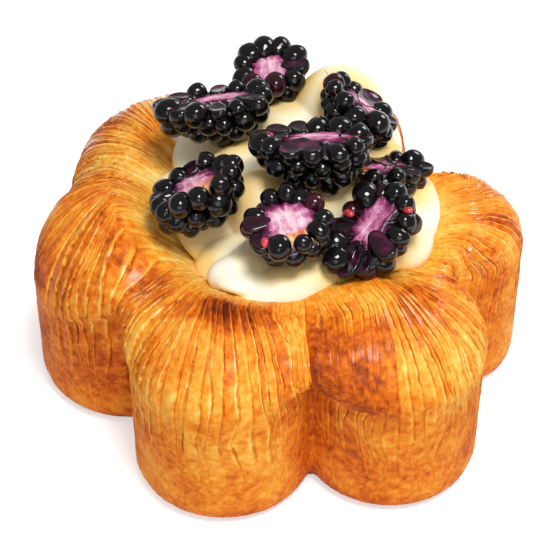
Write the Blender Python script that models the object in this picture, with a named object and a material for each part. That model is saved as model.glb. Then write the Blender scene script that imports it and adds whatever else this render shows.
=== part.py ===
"""Danish pastry: a six-lobed flower of laminated dough, filled with cream and topped with berry halves.

The flower is baked upright in a fluted mould, so its wall is close to plumb, its foot is flat and each
lobe ends above in a glazed dome that rolls over into a shallow recess.  The recess holds a mound of piped
cream, and eight halved berries sit in hollows of their own in the cream.

Lengths below are millimetres and angles are degrees; the finished meshes are in metres, +Z up.
Azimuths run from the front of the pastry (-Y) towards +X.
"""
import math
from collections import namedtuple

import bmesh
import bpy
from mathutils import Vector

MM = 0.001

# ---------------------------------------------------------------- sizes of the pastry
Lobe = namedtuple("Lobe", "azimuth distance radius wall crest_reach crest_height cream_reach")
LOBES = (
    Lobe(-20.9, 35.1, 19.1, 30.0, 33.5, 44.0, 28.5),    # front left
    Lobe(36.6, 37.0, 18.9, 30.0, 36.0, 44.0, 27.8),     # front right
    Lobe(91.0, 36.3, 14.8, 31.0, 41.5, 43.5, 33.5),     # right
    Lobe(160.0, 35.0, 15.5, 28.0, 37.0, 42.0, 36.5),    # back right
    Lobe(219.0, 37.7, 22.5, 25.0, 39.0, 40.5, 34.5),    # back left
    Lobe(276.5, 34.0, 19.8, 28.0, 36.0, 47.0, 23.5),    # left
)
Notch = namedtuple("Notch", "crest_draw crest_dip bridge cream_draw")
NOTCHES = (                                             # each follows the lobe of the same place above
    Notch(0.07, 3.0, 3.0, 0.20),                        # front, filled out above
    Notch(0.07, 4.0, 0.0, 0.00),                        # front right
    Notch(0.27, 6.0, 0.0, 0.13),                        # back right, the widest
    Notch(0.07, 3.0, 0.0, 0.00),                        # back
    Notch(0.00, 2.0, 4.5, 0.20),                        # back left, nearly closed above
    Notch(0.08, 3.5, 2.5, 0.24),                        # front left
)
HUB = 33.0                 # radius of the dough between lobes that do not meet
NOTCH_BLEND = 1.2          # softness of the crease where two lobes meet
NOTCH_WIDTH = 15.0         # half width of that dip, in degrees
BRIDGE_WIDTH = 9.0         # the same for the filling above the wall
LEDGE_RISE = 1.6           # height over which the dough bridges a notch at the top of the wall
LEDGE_FILL = 4.0           # how widely the bridging dough rounds the notch
FOOT_ROUND = 4.0           # rounding at the foot of the wall
RECESS_FLOOR = 32.0        # height of the floor under the cream
RECESS_REACH = 14.0        # radius of that floor

OUTLINE_STEPS = 720        # fine steps round the outline
COLUMNS = 72               # columns of the meshed pastry and cream
DOME_ROWS = 6
RECESS_ROWS = 5

# ---------------------------------------------------------------- sizes of the cream
SEAT_GAP = 0.9             # clearance between the cream and what it touches
CREAM_LIP = 3.0            # thickness of the rounded edge of the cream
CREAM_CROWN = 51.0         # height of the main mound
Fold = namedtuple("Fold", "x y top long_radius short_radius depth turn")
FOLDS = (
    Fold(12.5, 29.5, 57.0, 11.5, 10.5, 15.5, 0.0),      # back swell
    Fold(-10.9, -20.4, 45.5, 6.5, 5.0, 6.5, 0.0),       # bulb at the front left
    Fold(1.0, -23.0, 45.3, 12.5, 5.5, 7.5, 20.0),       # tongue that laps over the bulb
    Fold(25.0, -5.0, 46.0, 11.0, 7.0, 8.0, 100.0),       # swell at the right edge
    Fold(-4.0, 6.0, 52.5, 10.0, 8.0, 8.0, 20.0),        # peak in the middle
)

# ---------------------------------------------------------------- sizes of the berries
Berry = namedtuple("Berry", "name centre stem up half_length half_width depth")
BERRIES = (
    Berry("berry_half_back", (-3.1, 33.2, 54.0), (0.12, -0.95, -0.25), (-0.14, -0.02, 0.99), 8.6, 8.8, 9.2),
    Berry("berry_half_back_left", (-15.1, 18.3, 56.5), (0.97, 0.10, 0.20), (-0.12, 0.33, 0.93), 12.6, 9.0, 10.0),
    Berry("berry_half_left", (-18.8, -5.1, 53.5), (0.45, -0.85, -0.25), (-0.42, 0.22, 0.88), 9.6, 11.2, 10.8),
    Berry("berry_half_back_right", (16.5, 16.3, 57.0), (0.66, -0.66, -0.30), (0.52, 0.18, 0.83), 10.0, 8.0, 9.5),
    Berry("berry_half_middle", (5.7, 1.5, 60.0), (0.99, -0.12, -0.05), (-0.06, 0.25, 0.97), 12.6, 9.0, 12.0),
    Berry("berry_half_right", (22.3, 5.2, 49.0), (-0.90, -0.40, 0.05), (0.10, 0.28, 0.95), 9.0, 7.5, 7.5),
    Berry("berry_half_front", (0.6, -18.3, 55.5), (0.35, -0.90, -0.25), (-0.08, -0.10, 0.98), 9.4, 9.6, 10.0),
    Berry("berry_half_front_right", (17.2, -16.1, 51.0), (0.60, 0.70, 0.35), (-0.28, -0.28, 0.92), 11.6, 9.0, 10.0),
)
BERRY_COLUMNS = 33
BERRY_ROWS = 9
DRUPELET = 0.27            # radius of a drupelet as a share of the berry's half width
DRUPELET_RINGS = ((5.0, 11), (30.0, 11), (57.0, 6), (90.0, 1))
CORE = 0.84                # the berry between its drupelets, as a share of its full size

# ---------------------------------------------------------------- colours
CRUST_COLOUR = (0.62, 0.24, 0.05, 1.0)
CREAM_COLOUR = (0.90, 0.82, 0.55, 1.0)
BERRY_COLOUR = (0.035, 0.010, 0.020, 1.0)


def material(name, colour, roughness):
    made = bpy.data.materials.new(name)
    made.use_nodes = True
    made.diffuse_color = colour
    shader = made.node_tree.nodes["Principled BSDF"]
    shader.inputs["Base Color"].default_value = colour
    shader.inputs["Roughness"].default_value = roughness
    shader.inputs["Metallic"].default_value = 0.0
    return made


def mesh_object(name, vertices, faces, surface, group):
    """One closed body from vertices in millimetres."""
    mesh = bpy.data.meshes.new(name)
    mesh.from_pydata([Vector(v) * MM for v in vertices], [], faces)
    work = bmesh.new()
    work.from_mesh(mesh)
    bmesh.ops.triangulate(work, faces=work.faces[:])
    bmesh.ops.recalc_face_normals(work, faces=work.faces[:])
    for face in work.faces:
        face.smooth = True
    work.to_mesh(mesh)
    work.free()
    mesh.materials.append(surface)
    made = bpy.data.objects.new(name, mesh)
    group.objects.link(made)
    return made


def lathe_faces(rings, columns, first, last):
    """Faces between successive rings of vertices, closed at both ends by a single vertex."""
    faces = []
    for j in range(columns):
        k = (j + 1) % columns
        faces.append((first, rings[0] + k, rings[0] + j))
        faces.append((last, rings[-1] + j, rings[-1] + k))
        for low, high in zip(rings, rings[1:]):
            faces.append((low + j, low + k, high + k, high + j))
    return faces


def direction(azimuth):
    """Unit vector in plan, for an azimuth in degrees from the front towards +X."""
    angle = math.radians(azimuth)
    return Vector((math.sin(angle), -math.cos(angle)))


def azimuth_of(point):
    return math.degrees(math.atan2(point.x, -point.y))


def turn_between(first, second):
    """Signed difference of two azimuths, within half a turn."""
    return (first - second + 180.0) % 360.0 - 180.0


def around(azimuth, field):
    """Value of a lobe's field at any azimuth, eased from each lobe to the next."""
    for index, lobe in enumerate(LOBES):
        following = LOBES[(index + 1) % len(LOBES)]
        span = (following.azimuth - lobe.azimuth) % 360.0
        along = (azimuth - lobe.azimuth) % 360.0
        if along <= span:
            share = 0.5 - 0.5 * math.cos(math.pi * along / span)
            return getattr(lobe, field) * (1.0 - share) + getattr(following, field) * share
    return getattr(LOBES[0], field)


def notch_azimuth(index):
    """Where a lobe meets the next one."""
    lobe, following = LOBES[index], LOBES[(index + 1) % len(LOBES)]
    span = (following.azimuth - lobe.azimuth) % 360.0
    return lobe.azimuth + span * lobe.radius / (lobe.radius + following.radius)


def at_notches(azimuth, field, width=NOTCH_WIDTH):
    """A notch's value in its middle, fading to nothing on the lobes."""
    total = 0.0
    for index, notch in enumerate(NOTCHES):
        away = turn_between(azimuth, notch_azimuth(index)) / width
        total += getattr(notch, field) * math.exp(-away * away)
    return total


def crest_reach(azimuth):
    return around(azimuth, "crest_reach") * (1.0 - at_notches(azimuth, "crest_draw"))


def crest_height(azimuth):
    return around(azimuth, "crest_height") - at_notches(azimuth, "crest_dip")


def cream_reach(azimuth):
    return around(azimuth, "cream_reach") * (1.0 - at_notches(azimuth, "cream_draw"))


def lobe_reach(azimuth, lobe):
    """Distance at which a ray from the centre leaves a lobe's circle."""
    delta = math.radians(turn_between(azimuth, lobe.azimuth))
    if math.cos(delta) <= 0.0:
        return 0.0
    across = lobe.distance * math.sin(delta)
    return lobe.distance * math.cos(delta) + math.sqrt(max(lobe.radius ** 2 - across ** 2, 0.0))


def flower_reach(azimuth):
    """The six circles and the hub joined, with a soft crease at each notch."""
    total = math.exp(HUB / NOTCH_BLEND)
    total += sum(math.exp(lobe_reach(azimuth, lobe) / NOTCH_BLEND) for lobe in LOBES)
    return NOTCH_BLEND * math.log(total)


def even_steps(points, count):
    """Closed line walked in equal steps."""
    lengths = [0.0]
    for index, point in enumerate(points):
        lengths.append(lengths[-1] + (points[(index + 1) % len(points)] - point).length)
    walked = []
    segment = 0
    for step in range(count):
        target = lengths[-1] * step / count
        while lengths[segment + 1] < target:
            segment += 1
        share = (target - lengths[segment]) / (lengths[segment + 1] - lengths[segment])
        walked.append(points[segment].lerp(points[(segment + 1) % len(points)], share))
    return walked, lengths[-1] / count


def softened(points, step, width):
    """Closed line averaged along its own length."""
    taps = max(1, int(3.0 * width / step))
    weights = [math.exp(-0.5 * (tap * step / width) ** 2) for tap in range(-taps, taps + 1)]
    total = sum(weights)
    count = len(points)
    result = []
    for index in range(count):
        place = Vector((0.0, 0.0))
        for tap, weight in zip(range(-taps, taps + 1), weights):
            place += points[(index + tap) % count] * weight
        result.append(place / total)
    return result


def wall_columns():
    """Plan points of the wall, the ledge and the crest for every column."""
    rough = []
    for step in range(OUTLINE_STEPS * 2):
        azimuth = 360.0 * step / (OUTLINE_STEPS * 2)
        rough.append(direction(azimuth) * flower_reach(azimuth))
    fine, step_length = even_steps(rough, OUTLINE_STEPS)
    wall = softened(fine, step_length, 1.0)
    ledge = softened(fine, step_length, LEDGE_FILL)
    guide = softened(fine, step_length, 3.0 * LEDGE_FILL)
    stride = OUTLINE_STEPS // COLUMNS
    columns = []
    for index in range(0, OUTLINE_STEPS, stride):
        azimuth = azimuth_of(guide[index])
        outer = wall[index]
        shelf = ledge[index] if ledge[index].length > outer.length else outer
        shelf = shelf + shelf.normalized() * at_notches(azimuth, "bridge", BRIDGE_WIDTH)
        crest = direction(azimuth) * crest_reach(azimuth)
        columns.append((azimuth, outer, shelf, crest, crest_height(azimuth)))
    return columns


def foot_inset(wall, index, inset):
    """Wall point moved inwards, square to the outline."""
    count = len(wall)
    along = (wall[(index + 1) % count] - wall[(index - 1) % count]).normalized()
    inwards = Vector((-along.y, along.x))
    if inwards.dot(wall[index]) > 0.0:
        inwards = -inwards
    return wall[index] + inwards * inset


def recess_profile(crest, height):
    """Radius and height from the crest down to the floor of the recess."""
    reach = crest.length
    profile = []
    for row in range(RECESS_ROWS + 1):
        share = row / RECESS_ROWS
        drop = share * share * (3.0 - 2.0 * share)
        profile.append((reach + (RECESS_REACH - reach) * share, height + (RECESS_FLOOR - height) * drop))
    return profile


def recess_height(profile, radius):
    """Height of the recess at a radius, along the meshed profile."""
    if radius <= profile[-1][0]:
        return profile[-1][1]
    for (far, high), (near, low) in zip(profile, profile[1:]):
        if near <= radius <= far:
            return low + (high - low) * (radius - near) / (far - near)
    return profile[0][1]


def build_pastry(columns, surface, group):
    wall = [column[1] for column in columns]
    rows = []
    foot = [foot_inset(wall, index, FOOT_ROUND) for index in range(COLUMNS)]
    rows.append([(point.x * 0.5, point.y * 0.5, 0.0) for point in foot])
    rows.append([(point.x, point.y, 0.0) for point in foot])
    for angle in (30.0, 60.0):
        inset = FOOT_ROUND * (1.0 - math.sin(math.radians(angle)))
        rise = FOOT_ROUND * (1.0 - math.cos(math.radians(angle)))
        ring = [foot_inset(wall, index, inset) for index in range(COLUMNS)]
        rows.append([(point.x, point.y, rise) for point in ring])
    for share in (0.0, 0.5, 1.0):
        ring = []
        for azimuth, outer, _, _, _ in columns:
            top = around(azimuth, "wall") - 0.5 * LEDGE_RISE
            ring.append((outer.x, outer.y, FOOT_ROUND + (top - FOOT_ROUND) * share))
        rows.append(ring)
    for row in range(DOME_ROWS + 1):
        angle = 0.5 * math.pi * row / DOME_ROWS
        ring = []
        for azimuth, _, shelf, crest, height in columns:
            spring = around(azimuth, "wall") + 0.5 * LEDGE_RISE
            plan = shelf.lerp(crest, 1.0 - math.cos(angle))
            ring.append((plan.x, plan.y, spring + (height - spring) * math.sin(angle)))
        rows.append(ring)
    profiles = [recess_profile(crest, height) for _, _, _, crest, height in columns]
    for row in range(1, RECESS_ROWS + 1):
        ring = []
        for (azimuth, _, _, _, _), profile in zip(columns, profiles):
            place = direction(azimuth) * profile[row][0]
            ring.append((place.x, place.y, profile[row][1]))
        rows.append(ring)
    vertices = [vertex for ring in rows for vertex in ring]
    starts = [index * COLUMNS for index in range(len(rows))]
    vertices.append((0.0, 0.0, 0.0))
    vertices.append((0.0, 0.0, RECESS_FLOOR))
    faces = lathe_faces(starts, COLUMNS, len(vertices) - 2, len(vertices) - 1)
    return mesh_object("pastry", vertices, faces, surface, group), profiles


def berry_frame(berry):
    """Axes of a berry half: along the stem, across, and out of the cut face."""
    up = Vector(berry.up).normalized()
    stem = Vector(berry.stem)
    stem = (stem - up * stem.dot(up)).normalized()
    return stem, up.cross(stem), up


def drupelet_centres():
    """Middles of the drupelets on a unit berry half, ring by ring below the cut face."""
    centres = []
    for ring, (dip, count) in enumerate(DRUPELET_RINGS):
        for index in range(count):
            turn = 2.0 * math.pi * (index + 0.5 * (ring % 2)) / count
            flat = math.cos(math.radians(dip))
            down = -math.sin(math.radians(dip))
            centre = Vector((flat * math.cos(turn), flat * math.sin(turn), down))
            centres.append(centre * (1.0 - DRUPELET))
    return centres


def knobbly_reach(ray, centres):
    """Distance at which a ray from the middle leaves the cluster of drupelets."""
    reach = CORE
    for centre in centres:
        along = ray.dot(centre)
        gap = DRUPELET ** 2 - (centre - ray * along).length_squared
        if gap > 0.0:
            reach = max(reach, along + math.sqrt(gap))
    return reach


def build_berry(berry, centres, surface, group):
    stem, across, up = berry_frame(berry)
    middle = Vector(berry.centre)
    vertices = []
    for row in range(BERRY_ROWS):
        dip = 0.5 * math.pi * row / BERRY_ROWS
        for column in range(BERRY_COLUMNS):
            turn = 2.0 * math.pi * column / BERRY_COLUMNS
            ray = Vector((math.cos(dip) * math.cos(turn), math.cos(dip) * math.sin(turn), -math.sin(dip)))
            ray *= knobbly_reach(ray, centres)
            place = middle + stem * (ray.x * berry.half_length)
            place += across * (ray.y * berry.half_width) + up * (ray.z * berry.depth)
            vertices.append(tuple(place))
    starts = [row * BERRY_COLUMNS for row in range(BERRY_ROWS)]
    vertices.append(tuple(middle))
    vertices.append(tuple(middle - up * berry.depth))
    faces = lathe_faces(starts, BERRY_COLUMNS, len(vertices) - 2, len(vertices) - 1)
    return mesh_object(berry.name, vertices, faces, surface, group)


def berry_underside(berry, x, y):
    """Height of a berry's full outline above a point in plan, or None beside it."""
    stem, across, up = berry_frame(berry)
    sizes = (berry.half_length + SEAT_GAP, berry.half_width + SEAT_GAP, berry.depth + SEAT_GAP)
    axes = (stem, across, up)
    offset = Vector((x, y, 0.0)) - Vector(berry.centre)
    square = linear = rest = 0.0
    for axis, size in zip(axes, sizes):
        lift = axis.z / size
        base = offset.dot(axis) / size
        square += lift * lift
        linear += lift * base
        rest += base * base
    inside = linear * linear - square * (rest - 1.0)
    if inside <= 0.0:
        return None
    return (-linear - math.sqrt(inside)) / square


def fold_height(fold, x, y):
    """Upper surface of one piped fold, or None beside it."""
    turn = math.radians(fold.turn)
    east, north = x - fold.x, y - fold.y
    along = (east * math.cos(turn) + north * math.sin(turn)) / fold.long_radius
    beside = (north * math.cos(turn) - east * math.sin(turn)) / fold.short_radius
    inside = 1.0 - along * along - beside * beside
    if inside <= 0.0:
        return None
    return fold.top - fold.depth * (1.0 - math.sqrt(inside))


def cream_height(x, y, share, edge_height):
    """Top of the cream: the mound, its folds, and the hollows that hold the berries."""
    height = edge_height + (CREAM_CROWN - edge_height) * math.sqrt(max(1.0 - share ** 2.2, 0.0))
    for fold in FOLDS:
        lifted = fold_height(fold, x, y)
        if lifted is not None:
            height = max(height, lifted)
    for berry in BERRIES:
        under = berry_underside(berry, x, y)
        if under is not None:
            height = min(height, under)
    return height


def build_cream(columns, profiles, surface, group):
    rows = []
    for share in (0.30, 0.55, 0.75, 0.90, 1.0):
        ring = []
        for (azimuth, _, _, _, _), profile in zip(columns, profiles):
            radius = (cream_reach(azimuth) - 0.4 * CREAM_LIP) * share
            place = direction(azimuth) * radius
            ring.append((place.x, place.y, recess_height(profile, radius) + SEAT_GAP))
        rows.append(ring)
    for share in (1.0, 0.96, 0.88, 0.78, 0.68, 0.58, 0.48, 0.38, 0.28, 0.18, 0.09):
        ring = []
        for (azimuth, _, _, _, _), profile in zip(columns, profiles):
            reach = cream_reach(azimuth)
            place = direction(azimuth) * (reach * share)
            seat = recess_height(profile, reach) + SEAT_GAP
            height = cream_height(place.x, place.y, share, seat + CREAM_LIP)
            if share == 1.0:
                height = seat + 0.5 * CREAM_LIP
            ring.append((place.x, place.y, max(height, recess_height(profile, reach * share) + 1.5)))
        rows.append(ring)
    vertices = [vertex for ring in rows for vertex in ring]
    starts = [index * COLUMNS for index in range(len(rows))]
    vertices.append((0.0, 0.0, RECESS_FLOOR + SEAT_GAP))
    vertices.append((0.0, 0.0, cream_height(0.0, 0.0, 0.0, CREAM_CROWN)))
    faces = lathe_faces(starts, COLUMNS, len(vertices) - 2, len(vertices) - 1)
    return mesh_object("cream", vertices, faces, surface, group)


def main():
    for leftover in list(bpy.data.objects):
        bpy.data.objects.remove(leftover, do_unlink=True)
    group = bpy.data.collections.new("danish_pastry")
    bpy.context.scene.collection.children.link(group)
    crust = material("crust", CRUST_COLOUR, 0.35)
    cream = material("cream", CREAM_COLOUR, 0.45)
    berry_skin = material("berry", BERRY_COLOUR, 0.20)
    columns = wall_columns()
    _, profiles = build_pastry(columns, crust, group)
    build_cream(columns, profiles, cream, group)
    centres = drupelet_centres()
    for berry in BERRIES:
        build_berry(berry, centres, berry_skin, group)


main()
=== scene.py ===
"""Looks of the danish pastry: laminated crust, piped cream and halved berries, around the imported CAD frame.

Lengths are millimetres and angles degrees, with azimuths from the front (-Y) towards +X.  Meshes are
made in millimetres and scaled to metres as they are written.
"""
import math
from collections import namedtuple

import bpy
import numpy as np
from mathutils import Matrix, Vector


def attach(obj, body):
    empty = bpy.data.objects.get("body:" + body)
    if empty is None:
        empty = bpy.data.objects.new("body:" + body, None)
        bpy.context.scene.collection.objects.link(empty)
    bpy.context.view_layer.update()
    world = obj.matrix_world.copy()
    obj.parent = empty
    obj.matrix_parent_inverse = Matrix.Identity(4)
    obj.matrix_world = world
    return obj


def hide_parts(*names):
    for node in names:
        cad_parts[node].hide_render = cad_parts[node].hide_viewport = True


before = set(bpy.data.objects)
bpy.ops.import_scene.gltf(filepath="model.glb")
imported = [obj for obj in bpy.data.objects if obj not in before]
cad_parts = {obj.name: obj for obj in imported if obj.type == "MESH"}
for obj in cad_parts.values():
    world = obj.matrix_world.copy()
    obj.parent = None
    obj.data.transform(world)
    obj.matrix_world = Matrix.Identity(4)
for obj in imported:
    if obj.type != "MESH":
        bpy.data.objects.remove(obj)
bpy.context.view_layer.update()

MM = 0.001

# ---- the flower, as in the CAD part
Lobe = namedtuple("Lobe", "azimuth distance radius wall crest_reach crest_height cream_reach gather pull")
LOBES = (
    Lobe(-20.9, 35.1, 19.1, 30.0, 33.5, 44.0, 28.5, 0.25, 0.35),    # front left
    Lobe(36.6, 37.0, 18.9, 30.0, 36.0, 44.0, 27.8, 0.60, 0.45),     # front right
    Lobe(91.0, 36.3, 14.8, 31.0, 41.5, 43.5, 33.5, 0.15, 0.30),     # right
    Lobe(160.0, 35.0, 15.5, 28.0, 37.0, 42.0, 36.5, 0.50, 0.20),    # back right
    Lobe(219.0, 37.7, 22.5, 25.0, 39.0, 40.5, 34.5, 0.85, 0.35),    # back left
    Lobe(276.5, 34.0, 19.8, 28.0, 36.0, 47.0, 23.5, 0.08, 0.55),    # left
)
Notch = namedtuple("Notch", "crest_draw crest_dip bridge cream_draw ledge")
NOTCHES = (
    Notch(0.07, 3.0, 3.0, 0.20, 5.5),
    Notch(0.07, 4.0, 0.0, 0.00, 1.0),
    Notch(0.27, 6.0, 0.0, 0.13, 0.0),
    Notch(0.07, 3.0, 0.0, 0.00, 0.0),
    Notch(0.00, 2.0, 4.5, 0.20, 0.0),
    Notch(0.08, 3.5, 2.5, 0.24, 7.5),
)
HUB = 33.0
NOTCH_BLEND = 0.9
NOTCH_WIDTH = 15.0
BRIDGE_WIDTH = 9.0
LEDGE_WIDTH = 12.0
FOOT_ROUND = 4.0
RECESS_FLOOR = 32.0
RECESS_REACH = 14.0

# ---- crust mesh and relief
WALL_ROWS = 20
DOME_ROWS = 24
RECESS_ROWS = 12
LAYER_PITCH = 1.9          # mean width of the baked layers at the wall
LAYER_COLUMNS = (0.0, 0.07, 0.22, 0.40, 0.58, 0.76, 0.89, 0.95)
LAYER_RELIEF_WALL = 0.26
LAYER_RELIEF_DOME = 0.62
LAYER_STEP = 0.22          # how far some layers stand over others
LIP_RELIEF = 0.8           # how far the upper layers stand over the moulded wall
LIP_RAGGED = 1.5
FLAP_START, FLAP_END = 8.0, 26.8
FLAP_RELIEF = 1.1
FLAP_BROWN = 0.24
FLAP_FOOT, FLAP_SLOPE = 31.6, 0.10
FOLD_AZIMUTH, FOLD_LEVEL = 22.0, 53.0
FOLD_WIDE, FOLD_TALL = 20.0, 4.2
FOLD_RELIEF = 3.2
CURL = (-13.0, 45.0, 16.0, 2.6)    # a spot without its amount
# spots on the skin: azimuth, distance up the profile (26 at the wall's top, 46 at the crest),
# wide, tall, amount
LIPS = (
    (48.0, 0.0, 16.0, 1.0, 0.9), (8.0, 0.0, 8.0, 1.0, 0.9),
    (300.0, 0.0, 16.0, 1.0, 1.4), (100.0, 0.0, 20.0, 1.0, 0.2),
)
# darker spots: browning on the crests and walls, a darker patch low on the left lobe's wall, and, in the last
# spot, painted shade on the front right wall beside the front notch
BROWNED_AND_SHADED = (
    (-13.0, 44.5, 17.0, 2.8, 0.50), (268.0, 31.0, 14.0, 5.0, 0.30), (225.0, 36.0, 18.0, 4.0, 0.14),
    (305.0, 41.0, 13.0, 6.0, 0.16), (61.0, 37.0, 1.3, 7.0, 0.42), (92.0, 40.0, 14.0, 4.0, 0.16),
    (282.0, 8.0, 24.0, 18.0, 0.12), (14.0, 10.0, 9.0, 16.0, 0.08),
)
PALED = (
    (-36.0, 42.0, 7.0, 5.0, 0.35), (-20.0, 26.0, 20.0, 12.0, 0.16), (44.0, 32.0, 10.0, 9.0, 0.40),
    (250.0, 45.0, 9.0, 9.0, 0.45), (262.0, 30.0, 10.0, 6.0, 0.15), (26.0, 50.0, 14.0, 5.0, 0.20),
)

# ---- berries, as in the CAD part
# The core is given as shares of the half length and half width; then how pale it is, the share of it that
# is stem, and the seeds laid bare as shares of the half sizes.
Berry = namedtuple(
    "Berry", "name centre stem up half_length half_width depth core_length core_width pale stem_end seeds")
BERRIES = (
    Berry("berry_half_back", (-3.1, 33.2, 54.0), (0.12, -0.95, -0.25), (-0.14, -0.02, 0.99),
          8.6, 8.8, 9.2, 0.66, 0.46, 0.70, 0.14, ((-0.35, 0.52), (-0.25, -0.50))),
    Berry("berry_half_back_left", (-15.1, 18.3, 56.5), (0.97, 0.10, 0.20), (-0.12, 0.33, 0.93),
          12.6, 9.0, 10.0, 0.66, 0.27, 0.40, 0.08, ()),
    Berry("berry_half_left", (-18.8, -5.1, 53.5), (0.45, -0.85, -0.25), (-0.42, 0.22, 0.88),
          9.6, 11.2, 10.8, 0.66, 0.44, 0.45, 0.50, ()),
    Berry("berry_half_back_right", (16.5, 16.3, 57.0), (0.66, -0.66, -0.30), (0.52, 0.18, 0.83),
          10.0, 8.0, 9.5, 0.70, 0.26, 0.40, 0.06, ((-0.55, -0.45),)),
    Berry("berry_half_middle", (5.7, 1.5, 60.0), (0.99, -0.12, -0.05), (-0.06, 0.25, 0.97),
          12.6, 9.0, 12.0, 0.62, 0.25, 0.45, 0.08, ((-0.72, 0.08), (0.42, 0.60))),
    Berry("berry_half_right", (22.3, 5.2, 49.0), (-0.90, -0.40, 0.05), (0.10, 0.28, 0.95),
          9.0, 7.5, 7.5, 0.66, 0.36, 0.15, 0.16, ()),
    Berry("berry_half_front", (0.6, -18.3, 55.5), (0.35, -0.90, -0.25), (-0.08, -0.10, 0.98),
          9.4, 9.6, 10.0, 0.60, 0.62, 0.95, 0.30, ((0.48, -0.66),)),
    Berry("berry_half_front_right", (17.2, -16.1, 51.0), (0.60, 0.70, 0.35), (-0.28, -0.28, 0.92),
          11.6, 9.0, 10.0, 0.68, 0.38, 0.15, 0.14, ((0.05, 0.62), (0.62, -0.52))),
)
DRUPELET = 2.45            # mean radius of a drupelet
TIP_TAPER = 0.18           # how much narrower and shallower a berry is at its tip
SLICED_SHARE = 0.30        # share of the drupelets at the cut that are cut open
SEED_SIZE = (1.35, 0.85, 0.7)
STYLES = 5
STYLE_RADIUS = 0.085

# ---- cream
Blob = namedtuple("Blob", "x y z long short tall turn lean")
CREAM_BLOBS = (
    Blob(24.0, -6.0, 40.5, 11.0, 7.2, 5.8, 100.0, 0.0),     # right, in front
    Blob(25.5, 5.5, 39.5, 9.0, 7.0, 6.0, 100.0, 0.0),       # right, behind
    Blob(-4.5, -0.5, 42.5, 9.0, 7.5, 8.2, 100.0, 0.0),       # middle
    Blob(-8.0, 11.5, 42.5, 10.0, 6.0, 7.0, 20.0, 0.0),      # strip between the left berries
    Blob(2.0, -22.2, 40.6, 12.0, 5.2, 4.9, 20.0, 3.0),      # tongue at the front
    Blob(-9.6, -20.0, 41.0, 6.2, 4.8, 4.5, 0.0, 0.0),      # bulb beside it
    Blob(-9.5, -11.0, 36.0, 9.5, 8.5, 5.0, 20.0, 0.0),      # low shelf behind the bulb
    Blob(-21.0, 10.0, 38.0, 8.0, 6.0, 4.0, 10.0, 0.0),      # left strip
    Blob(12.5, 28.5, 42.0, 11.5, 9.0, 14.8, 0.0, 0.0),      # back swell
    Blob(18.5, 22.0, 39.5, 7.5, 7.5, 10.0, 0.0, 0.0),       # slope down to the right of it
    Blob(1.0, 24.0, 40.0, 12.0, 10.0, 9.5, 0.0, 0.0),       # hollow between the back berries
    Blob(-15.0, 28.0, 39.0, 12.0, 9.0, 9.5, -25.0, 0.0),    # back left swell
    Blob(17.0, 14.0, 42.0, 9.0, 9.0, 9.0, 0.0, 0.0),        # under the right berries
    Blob(6.0, 3.0, 42.0, 12.0, 10.0, 8.0, 0.0, 0.0),        # under the middle berry
)
# the slab's edge from below to above: how far in from the cream's reach, how far over the crust
CREAM_EDGE = (
    (12.0, -6.0), (3.0, -2.5), (0.6, 0.0), (0.0, 1.0), (0.5, 1.9), (1.6, 2.5), (4.5, 2.9), (9.0, 3.4),
)
CREAM_VOXEL = 0.45
CREAM_SOFTENING = 5

# ---- stage
CAMERA_ELEVATION = 44.0
CAMERA_DISTANCE = 453.0
CAMERA_TARGET = 20.0       # height of the point looked at
CAMERA_LENS = 133.07
CAMERA_SHIFT = (-0.0073, 0.0052)
WORLD_LIGHT = 0.32
FLOOR_GLOW = 0.50


# ==== small tools
def value_noise(x, y, seed, period=997):
    """Smooth random field with cells of one unit, about -1 to 1, repeating in x after period cells."""
    table = np.random.default_rng(seed).uniform(-1.0, 1.0, (period, 257))
    x0, y0 = np.floor(x).astype(int), np.floor(y).astype(int)
    fx, fy = x - x0, y - y0
    fx, fy = fx * fx * (3.0 - 2.0 * fx), fy * fy * (3.0 - 2.0 * fy)
    x1, y1 = (x0 + 1) % period, (y0 + 1) % 257
    x0, y0 = x0 % period, y0 % 257
    low = table[x0, y0] * (1.0 - fx) + table[x1, y0] * fx
    high = table[x0, y1] * (1.0 - fx) + table[x1, y1] * fx
    return low * (1.0 - fy) + high * fy


def smooth_step(low, high, value):
    share = np.clip((value - low) / (high - low), 0.0, 1.0)
    return share * share * (3.0 - 2.0 * share)


def turn_between(first, second):
    return (first - second + 180.0) % 360.0 - 180.0


def plan_direction(azimuth):
    angle = np.radians(azimuth)
    return np.stack([np.sin(angle), -np.cos(angle)], axis=-1)


def linked(name, data):
    """New object in the scene."""
    made = bpy.data.objects.new(name, data)
    bpy.context.scene.collection.objects.link(made)
    return made


def ring(columns):
    """Columns of a closed ring, and the column after each."""
    here = np.arange(columns)
    return here, (here + 1) % columns


def band(low, high, j, k):
    """Faces of four corners between two rings that start at low and high."""
    return np.column_stack([low + j, low + k, high + k, high + j])


def fan(j, k, tip):
    return np.column_stack([j, k, np.full(len(j), tip)])


def mesh_from_arrays(name, vertices, faces, materials):
    """Mesh object from vertices in millimetres and faces of three or four corners."""
    mesh = bpy.data.meshes.new(name)
    mesh.from_pydata((np.asarray(vertices) * MM).tolist(), [], [tuple(face) for face in faces])
    mesh.update()
    mesh.polygons.foreach_set("use_smooth", np.ones(len(mesh.polygons), dtype=bool))
    for surface in materials:
        mesh.materials.append(surface)
    return linked(name, mesh)


def paint(mesh, name, colours):
    """Stores one colour for each vertex."""
    layer = mesh.attributes.new(name, "FLOAT_COLOR", "POINT")
    full = np.ones((len(mesh.vertices), 4), dtype=np.float32)
    full[:, :colours.shape[1]] = colours
    layer.data.foreach_set("color", full.ravel())


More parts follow.
